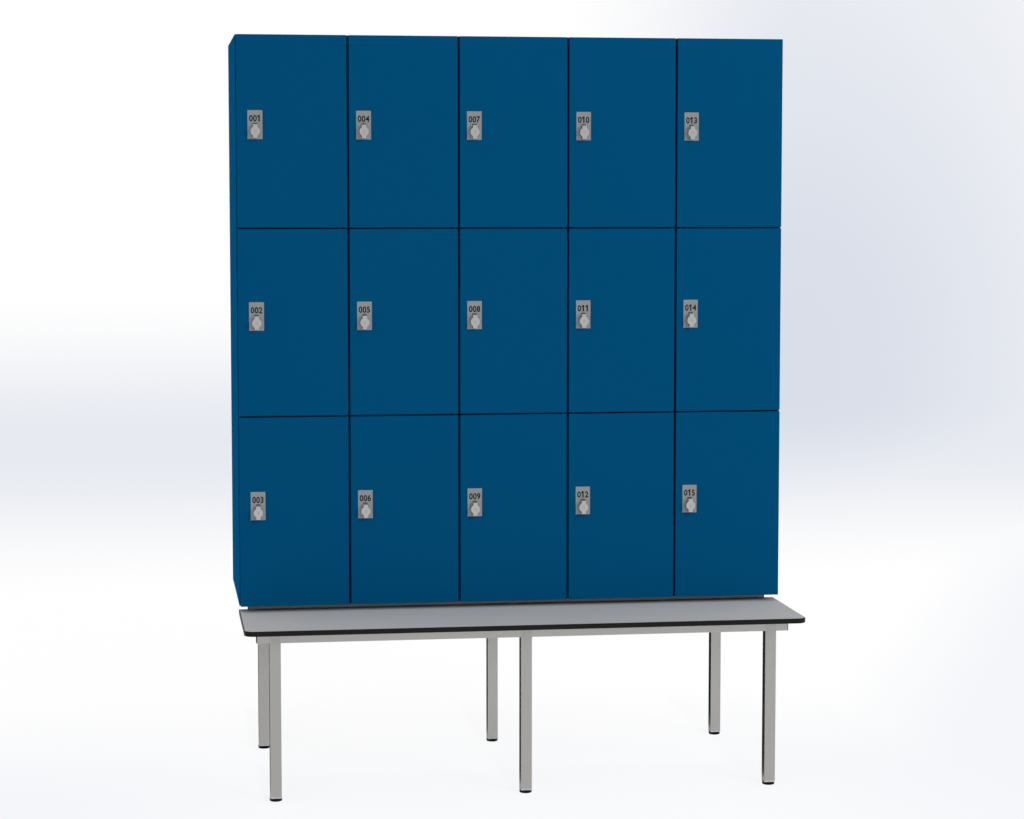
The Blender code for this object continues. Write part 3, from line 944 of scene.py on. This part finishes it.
@dataclass
class Lock(Assembly):
    """One lock: number, arc of painted shade in its slot, knob, spindle and the cam behind the door."""

    number: int
    axis: Vector
    digit_low: float = 0.0257
    mark_in: float = 0.0197
    mark_out: float = 0.0220
    mark_angle: float = 17.0
    mark_back: float = 0.0006
    mark_depth: float = 0.0005
    disc_radius: float = 0.0128
    disc_gap: float = 0.0003
    grip_half: float = 0.00595
    grip_reach: float = 0.0185
    arc_steps: int = 10
    fillet: float = 0.002
    rim: float = 0.0009
    cam_half: float = 0.008
    cam_gap: float = 0.0003
    cam_screw: float = 0.003
    cam_head_share: float = 0.98
    cam_foot_share: float = 0.5
    spindle_radius: float = 0.004
    spindle_start: float = 0.004

    def __post_init__(self) -> None:
        """Take the levels of plate, knob and cam from the frame."""
        case_low, case_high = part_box(f"lock_case_{self.number:02d}")
        knob_low, knob_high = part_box(f"lock_knob_{self.number:02d}")
        self.plate_front = case_low.y
        self.knob_front = knob_low.y
        self.cam_front = case_high.y + self.cam_gap
        self.cam_back = knob_high.y - self.cam_screw
        self.cam_low = knob_low.z

    def build(self, numerals: Numerals) -> None:
        """Make and dress every piece of the lock.

        Args:
            numerals: What draws its number.
        """
        tag = f"{self.number:02d}"
        door, knob = f"door_{tag}", f"knob_{tag}"
        dress(self.nodes[f"lock_case_{tag}"], self.materials.plate)
        low = Vector((self.axis.x, self.plate_front, self.axis.z + self.digit_low))
        put(f"number_{tag}", numerals.mesh(f"{self.number:03d}", low), [self.materials.ink], door)
        # The arc in the slot above the knob is painted shade.
        put(f"lock_slot_shade_{tag}", self.mark(), [self.materials.slot_shade], door)
        put(f"knob_grip_{tag}", self.grip(), [self.materials.knob], knob, [f"lock_knob_{tag}"])
        put(f"knob_centre_{tag}", self.centre(), [self.materials.knob_core], knob)
        put(f"knob_cam_{tag}", self.cam(), [self.materials.steel], knob)

    def mark(self) -> Mesh:
        """The dark arc above the knob: painted shade, a thin dark sheet in the plate's arc slot.

        Returns:
            The mesh.
        """
        shape = bmesh.new()
        start = math.radians(90 - self.mark_angle)
        y = self.plate_front + self.mark_back
        ends = []
        for radius in (self.mark_in, self.mark_out):
            x, z = self.axis.x + radius * math.cos(start), self.axis.z + radius * math.sin(start)
            ends.append(shape.verts.new((x, y, z)))
        line = shape.edges.new(ends)
        angle = -math.radians(2 * self.mark_angle)
        bmesh.ops.spin(
            shape, geom=[*ends, line], cent=self.axis, axis=(0, 1, 0), angle=angle, steps=self.arc_steps
        )
        draw_out(shape, (0, -self.mark_depth, 0))
        return closed_mesh(shape)

    def grip(self) -> Mesh:
        """The knob: a disc with a bar across it, its front rim rounded.

        Returns:
            The mesh.
        """
        shape = bmesh.new()
        x, z = self.axis.x, self.axis.z
        back = self.plate_front - self.disc_gap
        lift = math.sqrt(self.disc_radius**2 - self.grip_half**2)
        angle = -2 * math.atan2(lift, self.grip_half)
        arcs = []
        for turn in (1, -1):
            start = shape.verts.new((x + turn * self.grip_half, back, z - turn * lift))
            bmesh.ops.spin(
                shape, geom=[start], cent=(x, back, z), axis=(0, 1, 0), angle=angle, steps=self.arc_steps
            )
            shape.verts.ensure_lookup_table()
            arcs.append((start, shape.verts[-1]))
        corners = []
        for (_, arc_end), (next_start, _), side in ((arcs[0], arcs[1], 1), (arcs[1], arcs[0], -1)):
            high = shape.verts.new((x + side * self.grip_half, back, z + side * self.grip_reach))
            low = shape.verts.new((x - side * self.grip_half, back, z + side * self.grip_reach))
            shape.edges.new((arc_end, high))
            shape.edges.new((high, low))
            shape.edges.new((low, next_start))
            corners += [arc_end, next_start]
        bmesh.ops.contextual_create(shape, geom=shape.edges[:])
        soften(shape, corners, self.fillet, 4, "VERTICES")
        draw_out(shape, (0, self.knob_front - back, 0))
        level = self.knob_front + MILLIMETRE / 10
        rims = [edge for edge in shape.edges if all(vert.co.y < level for vert in edge.verts)]
        soften(shape, rims, self.rim, 3)
        return closed_mesh(shape)

    def centre(self) -> Mesh:
        """The round cap in the middle of the knob's face, slightly dished.

        Returns:
            The mesh.
        """
        profile = [
            (0, -0.00005), (0.0022, -0.0001), (0.0031, -0.00028), (0.0036, -0.00022),
            (0.0038, 0.0001), (0.0038, 0.0006), (0, 0.0006),
        ]
        return turned(profile, (self.axis.x, self.knob_front, self.axis.z), Axis.Y, 32)

    def cam(self) -> Mesh:
        """The cam on its spindle, held by a round-headed screw.

        Returns:
            The mesh.
        """
        x, z = self.axis.x, self.axis.z
        half = self.cam_half
        shape = raw_block((x - half, self.cam_front, self.cam_low), (x + half, self.cam_back, z + half))
        through = runs_along(Axis.Y)
        high = [edge for edge in shape.edges if through(edge) and edge.verts[0].co.z > z]
        soften(shape, high, half * self.cam_head_share, 8)
        foot = self.cam_low + MILLIMETRE
        low = [edge for edge in shape.edges if through(edge) and edge.verts[0].co.z < foot]
        soften(shape, low, half * self.cam_foot_share, 5)
        plate = closed_mesh(shape)
        start = self.knob_front + self.spindle_start
        bar = disc_profile(self.spindle_radius, start, self.cam_back, MILLIMETRE / 5)
        spindle = turned(bar, (x, 0, z), Axis.Y)
        head = [
            (0, 0.0010), (0.0014, 0.0010), (0.0015, 0.0027), (0.0028, 0.0025),
            (0.0042, 0.0017), (0.0049, 0.0006), (0.0050, -0.0005), (0, -0.0005),
        ]
        screw = turned(head, (x, self.cam_back, z), Axis.Y)
        return joined([plate, spindle, screw])


@dataclass
class Numerals:
    """Draws the numbers in heavy plain digits, one to a cell."""

    height: float = 0.0170
    width: float = 0.0098
    pitch: float = 0.0107
    relief: float = 0.0002
    weight: float = 0.025
    extra_weight: float = 0.022
    one: tuple[Pair, ...] = (
        (0.11, 0.0), (0.11, 0.78), (-0.05, 0.78), (-0.22, 0.64), (-0.22, 0.47), (-0.07, 0.57), (-0.07, 0.0),
    )

    def flat(self, digit: str) -> Shape:
        """A digit as flat faces in X and Y, in the font's units, with its middle at X 0.

        Args:
            digit: One character.

        Returns:
            The bmesh, whose faces look along +Z.
        """
        shape = bmesh.new()
        if digit == "1":
            shape.faces.new([shape.verts.new((x, y, 0)) for x, y in self.one])
            return shape
        curve = bpy.data.curves.new("numeral", "FONT")
        curve.body = digit
        curve.offset = self.weight
        carrier = linked("numeral", curve)
        bpy.context.view_layer.update()
        mesh = bpy.data.meshes.new_from_object(carrier.evaluated_get(bpy.context.evaluated_depsgraph_get()))
        shape.from_mesh(mesh)
        bpy.data.objects.remove(carrier)
        bpy.data.curves.remove(curve)
        bpy.data.meshes.remove(mesh)
        bmesh.ops.remove_doubles(shape, verts=shape.verts, dist=1e-5)
        bmesh.ops.inset_region(
            shape, faces=shape.faces[:], thickness=self.extra_weight,
            use_boundary=True, use_even_offset=True, use_outset=True,
        )
        low, high = self.reach(shape)
        bmesh.ops.translate(shape, vec=(-(low.x + high.x) / 2, -low.y, 0), verts=shape.verts)
        return shape

    @staticmethod
    def reach(shape: Shape) -> tuple[Vector, Vector]:
        """The lowest and highest corner of a flat shape.

        Args:
            shape: The bmesh.

        Returns:
            Both corners.
        """
        across = [vert.co.x for vert in shape.verts]
        up = [vert.co.y for vert in shape.verts]
        return Vector((min(across), min(up))), Vector((max(across), max(up)))

    def mesh(self, text: str, low: Vector) -> Mesh:
        """A number in place on a plate.

        Args:
            text: The number.
            low: The middle of the number's lower edge, on the plate's face.

        Returns:
            The mesh, upright and facing -Y.
        """
        zero = self.flat("0")
        corner_low, corner_high = self.reach(zero)
        size = corner_high - corner_low
        zero.free()
        fit = Matrix.Diagonal((self.width / size.x, self.height / size.y, 1.0, 1.0))
        upright = Matrix.Rotation(math.radians(90), 4, "X")
        digits = []
        for index, digit in enumerate(text):
            shape = self.flat(digit)
            cell = Matrix.Translation(((index - (len(text) - 1) / 2) * self.pitch, 0, 0))
            bmesh.ops.transform(shape, matrix=cell @ fit, verts=shape.verts)
            draw_out(shape, (0, 0, self.relief))
            bmesh.ops.transform(shape, matrix=Matrix.Translation(low) @ upright, verts=shape.verts)
            digits.append(closed_mesh(shape))
        return joined(digits)


@dataclass
class Doors(Assembly):
    """The fifteen doors, their locks and the soft buffers behind them."""

    buffer_radius: float = 0.004
    buffer_spaces: tuple[float, ...] = (0.06, 0.45)
    buffer_inset: float = 0.0035

    def build(self, joints: Sequence[dict]) -> None:
        """Dress the doors and build their locks.

        Args:
            joints: The frame's joints.
        """
        axes = {joint["name"]: Vector(joint["pos_m"]) for joint in joints}
        numerals = Numerals()
        for number in NUMBERS:
            tag = f"{number:02d}"
            dress(self.nodes[f"door_{tag}"], self.materials.board)
            Lock(self.nodes, self.materials, number, axes[f"lock_{tag}_turn"]).build(numerals)
            LOG.info("lock %s", tag)

    def buffers(self) -> None:
        """Set small soft buffers on the board edges where the doors close."""
        radius = self.buffer_radius
        profile = [
            (0, 0.0003), (radius - 0.0015, 0.0003), (radius - 0.0004, 0.0010),
            (radius, 0.0022), (radius, 0.0031), (0, 0.0031),
        ]
        meshes = []
        for number in NUMBERS:
            low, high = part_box(f"door_{number:02d}")
            for space in self.buffer_spaces:
                place = (low.x + self.buffer_inset, high.y, low.z + space)
                meshes.append(turned(profile, place, Axis.Y, 14))
        put("door_buffers", joined(meshes), [self.materials.black_plastic])


# Studio


@dataclass(frozen=True)
class Camera:
    """The camera at the photograph's place."""

    place: Point = (-0.99910, -6.89422, 1.57408)
    down: float = 0.081829
    right: float = 0.145510
    lens: float = 88.463
    sensor: float = 36.0

    def build(self) -> None:
        """Make the camera and look through it."""
        data = bpy.data.cameras.new("camera")
        data.lens = self.lens
        data.sensor_width = self.sensor
        data.clip_end = 100.0
        item = linked("camera", data)
        item.location = self.place
        item.rotation_euler = (math.pi / 2 - self.down, 0.0, -self.right)
        bpy.context.scene.camera = item


@dataclass(frozen=True)
class Lamp:
    """A soft lamp that the camera doesn't see; power is in watts and spread in degrees."""

    name: str
    place: Point
    target: Point
    size: Pair
    power: float
    spread: float = 180.0
    mirrored: bool = False

    def build(self) -> None:
        """Hang the lamp and point it at its target."""
        data = bpy.data.lights.new(self.name, "AREA")
        data.shape = "RECTANGLE"
        data.size, data.size_y = self.size
        data.energy = self.power
        data.spread = math.radians(self.spread)
        item = linked(self.name, data)
        item.location = self.place
        back = Vector(self.place) - Vector(self.target)
        item.rotation_euler = back.to_track_quat("Z", "Y").to_euler()
        item.visible_camera = False
        item.visible_glossy = self.mirrored


@dataclass
class Studio:
    """Pale floor and backdrop with a painted shadow, soft light and the dark flags beside the legs.

    A fade is a pair of levels in metres: it runs from none at the first to all at the second.
    """

    reach: float = 40.0
    sky: float = 0.68
    lamps: tuple[Lamp, ...] = (
        Lamp("key", (6.0, -8.7, 5.1), (0, 0, 1.0), (2.9, 2.9), 478.0),
        Lamp("side", (-4.0, 0.1625, 1.26), (0, 0.1625, 1.26), (0.8, 1.75), 1.9, spread=4.0),
        Lamp("under", (0, -0.05, 0.14), (0, 1.0, 0.14), (1.5, 0.26), 0.41, mirrored=True),
    )
    floor_colour: float = 0.80
    floor_glow: float = 1.028
    shade_share: float = 0.09
    near_tone: Colour = (0.905, 0.915, 0.945)
    near_fade: Pair = (1.2, -0.4)
    near_slant: float = 2.2
    slant_from: float = 1.2
    aside_fade: Pair = (0.4, 1.5)
    aside_least: float = 0.5
    far_tone: Colour = (0.945, 0.948, 0.964)
    far_fade: Pair = (3.2, 5.0)
    horizon_fade: Pair = (8.0, 28.0)
    wall_y: float = 4.6
    lavender: Colour = (0.69, 0.725, 0.81)
    band_rise: Pair = (-0.22, 0.45)
    band_end: Pair = (1.19, 0.51)
    band_share: float = 0.65
    # The right_ fades place the painted shadow of the object on the backdrop.
    right_rise: Pair = (-0.24, 0.68)
    right_start: Pair = (0.85, 2.05)
    right_end: Pair = (4.75, 2.0)
    right_least: float = 0.12
    right_high: Pair = (3.2, 0.9)
    right_high_least: float = 0.55
    wall_fade: Pair = (24.0, 8.0)
    flag_tone: float = 0.005
    flag_gap: float = 0.023
    flag_middle: float = 0.213
    flag_half_height: float = 0.206
    flag_half_lengths: Pair = (0.22, 0.3)

    @staticmethod
    def sheet(name: str, material: Material, place: Matrix) -> bpy.types.Object:
        """A flat staged sheet.

        Args:
            name: Its name.
            material: Its material.
            place: What brings a level sheet, 2 m wide and long, to its size and place.

        Returns:
            The object.
        """
        shape = bmesh.new()
        bmesh.ops.create_grid(shape, x_segments=1, y_segments=1, size=1.0)
        bmesh.ops.transform(shape, matrix=place, verts=shape.verts)
        mesh = bpy.data.meshes.new(name)
        shape.to_mesh(mesh)
        shape.free()
        mesh.materials.append(material)
        item = linked(name, mesh)
        item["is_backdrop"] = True
        return item

    @staticmethod
    def front_only(nodes: Nodes, shader: Socket) -> None:
        """Give a sheet its shader at the front and leave it clear at the back.

        Args:
            nodes: The nodes of its material.
            shader: The shader.
        """
        back = nodes.add("ShaderNodeNewGeometry").outputs["Backfacing"]
        clear = nodes.add("ShaderNodeBsdfTransparent").outputs[0]
        final = nodes.mix_shaders(back, shader, clear)
        nodes.fill(nodes.tree.nodes["Material Output"], {"Surface": final})

    def floor_tone(self, nodes: Nodes) -> Socket:
        """White under the object, faintly blue near the camera, at the backdrop's tone far back.

        Args:
            nodes: The nodes of the floor's material.

        Returns:
            The colour.
        """
        place = nodes.place()
        beyond = nodes.math("MAXIMUM", nodes.math("SUBTRACT", place["X"], self.slant_from), 0.0)
        level = nodes.math("SUBTRACT", place["Y"], nodes.times(beyond, self.near_slant))
        near = nodes.between(level, *self.near_fade)
        across = nodes.math("ABSOLUTE", place["X"])
        aside = nodes.between(across, *self.aside_fade, self.aside_least, 1.0)
        tone = nodes.mix(nodes.times(near, aside), WHITE, self.near_tone)
        tone = nodes.mix(nodes.between(place["Y"], *self.far_fade), tone, self.far_tone)
        away = nodes.add("ShaderNodeVectorMath", {0: nodes.point()}, operation="LENGTH")
        return nodes.mix(nodes.between(away.outputs["Value"], *self.horizon_fade), tone, WHITE)

    def floor(self) -> None:
        """The floor: white to the camera, with a faint shadow, pale to the rest and clear from below."""
        material, nodes = new_material("floor")
        pale = {"Base Color": (self.floor_colour,) * 3, "Roughness": 0.9, "Specular IOR Level": 0.0}
        shader = nodes.fill(nodes.tree.nodes["Principled BSDF"], pale)
        tone = self.floor_tone(nodes)
        shadow = nodes.add("ShaderNodeBsdfDiffuse", {"Color": tone})
        glow = nodes.add("ShaderNodeEmission", {"Color": tone, "Strength": self.floor_glow})
        white = nodes.mix_shaders(1.0 - self.shade_share, shadow.outputs[0], glow.outputs[0])
        path = nodes.add("ShaderNodeLightPath").outputs
        seen = nodes.math("MAXIMUM", path["Is Camera Ray"], path["Is Glossy Ray"])
        self.front_only(nodes, nodes.mix_shaders(seen, shader.outputs[0], white))
        self.sheet("floor", material, Matrix.Scale(self.reach, 4))

    def wall(self) -> None:
        """The backdrop, seen from its front alone: white, with a painted shadow of the object to its right
        and a darker band low down, both in soft lavender.
        """
        material, nodes = new_material("backdrop")
        place = nodes.place()
        x, z = place["X"], place["Z"]
        band = nodes.times(nodes.between(z, *self.band_rise), nodes.between(z, *self.band_end))
        # end, beside, lower and right make the painted shadow of the object to its right; band is a darker
        # band low down.
        end = nodes.between(x, *self.right_end, self.right_least, 1.0)
        beside = nodes.times(nodes.between(x, *self.right_start), end)
        lower = nodes.between(z, *self.right_high, self.right_high_least, 1.0)
        right = nodes.times(nodes.times(beside, lower), nodes.between(z, *self.right_rise))
        shade = nodes.math("MAXIMUM", nodes.times(band, self.band_share), right)
        close = nodes.between(nodes.math("ABSOLUTE", x), *self.wall_fade)
        tone = nodes.mix(nodes.times(shade, close), WHITE, self.lavender)
        self.front_only(nodes, nodes.add("ShaderNodeEmission", {"Color": tone}).outputs[0])
        upright = Matrix.Rotation(math.radians(90), 4, "X") @ Matrix.Scale(self.reach, 4)
        item = self.sheet("backdrop", material, Matrix.Translation((0, self.wall_y, self.reach)) @ upright)
        for ray in ("diffuse", "glossy", "transmission", "shadow"):
            setattr(item, f"visible_{ray}", False)

    def world(self) -> None:
        """White to the camera, and a plain even light for everything else."""
        world = bpy.data.worlds.new("studio")
        bpy.context.scene.world = world
        world.use_nodes = True
        nodes = Nodes(world.node_tree)
        light = world.node_tree.nodes["Background"]
        seen = nodes.add("ShaderNodeBackground")
        for background, strength in ((light, self.sky), (seen, 1.0)):
            nodes.fill(background, {"Color": WHITE, "Strength": strength})
        camera = nodes.add("ShaderNodeLightPath").outputs["Is Camera Ray"]
        final = nodes.mix_shaders(camera, light.outputs[0], seen.outputs[0])
        nodes.fill(world.node_tree.nodes["World Output"], {"Surface": final})

    def flags(self, bench: Bench) -> None:
        """Dark flags at the left of the legs, unseen by the camera.

        Args:
            bench: The bench, which says where its legs are.
        """
        material, nodes = new_material("flag")
        dark = nodes.add("ShaderNodeBsdfDiffuse", {"Color": (self.flag_tone,) * 3})
        self.front_only(nodes, dark.outputs[0])
        half = bench.tube / 2
        turn = Matrix.Rotation(math.radians(90), 4, "Y")
        spots = [
            (x - half - self.flag_gap, y - half, length)
            for x in bench.columns().values()
            for y, length in zip(bench.rails().values(), self.flag_half_lengths)
        ]
        for index, (x, y, length) in enumerate(spots):
            place = Matrix.Translation((x, y + length, self.flag_middle))
            size = Matrix.Diagonal((1, length, self.flag_half_height, 1))
            self.sheet(f"flag_{index}", material, place @ size @ turn).visible_camera = False

    def build(self, bench: Bench) -> None:
        """Set up the studio.

        Args:
            bench: The bench, whose legs get flags beside them.
        """
        self.floor()
        self.wall()
        self.world()
        for lamp in self.lamps:
            lamp.build()
        self.flags(bench)


def note_size(sizes: dict[str, list[list[float]]], name: str) -> None:
    """Keep the shown object's box under a name."""
    low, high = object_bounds()
    sizes[name] = [[round(value, 5) for value in low], [round(value, 5) for value in high]]


def main() -> None:
    """Build the looks of the locker and its bench."""
    logging.basicConfig(level=logging.INFO, format="%(name)s: %(message)s")
    for item in list(bpy.data.objects):
        bpy.data.objects.remove(item, do_unlink=True)
    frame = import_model()
    sizes: dict[str, list[list[float]]] = {}
    note_size(sizes, "cad")
    bpy.context.scene.view_settings.view_transform = "Standard"
    Camera().build()
    materials = Materials(board_front=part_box("side_left")[0].y)
    kit = (frame["nodes"], materials)
    carcass = Carcass(*kit)
    carcass.dress()
    carcass.screws()
    LOG.info("carcass dressed")
    bench = Bench(*kit)
    bench.build()
    LOG.info("bench frame built")
    Bearers(*kit).build()
    LOG.info("bearers dressed")
    Seat(*kit).build()
    LOG.info("seat built")
    doors = Doors(*kit)
    doors.build(frame["joints"])
    doors.buffers()
    LOG.info("doors built")
    Studio().build(bench)
    note_size(sizes, "visual")


if __name__ == "__main__":
    main()
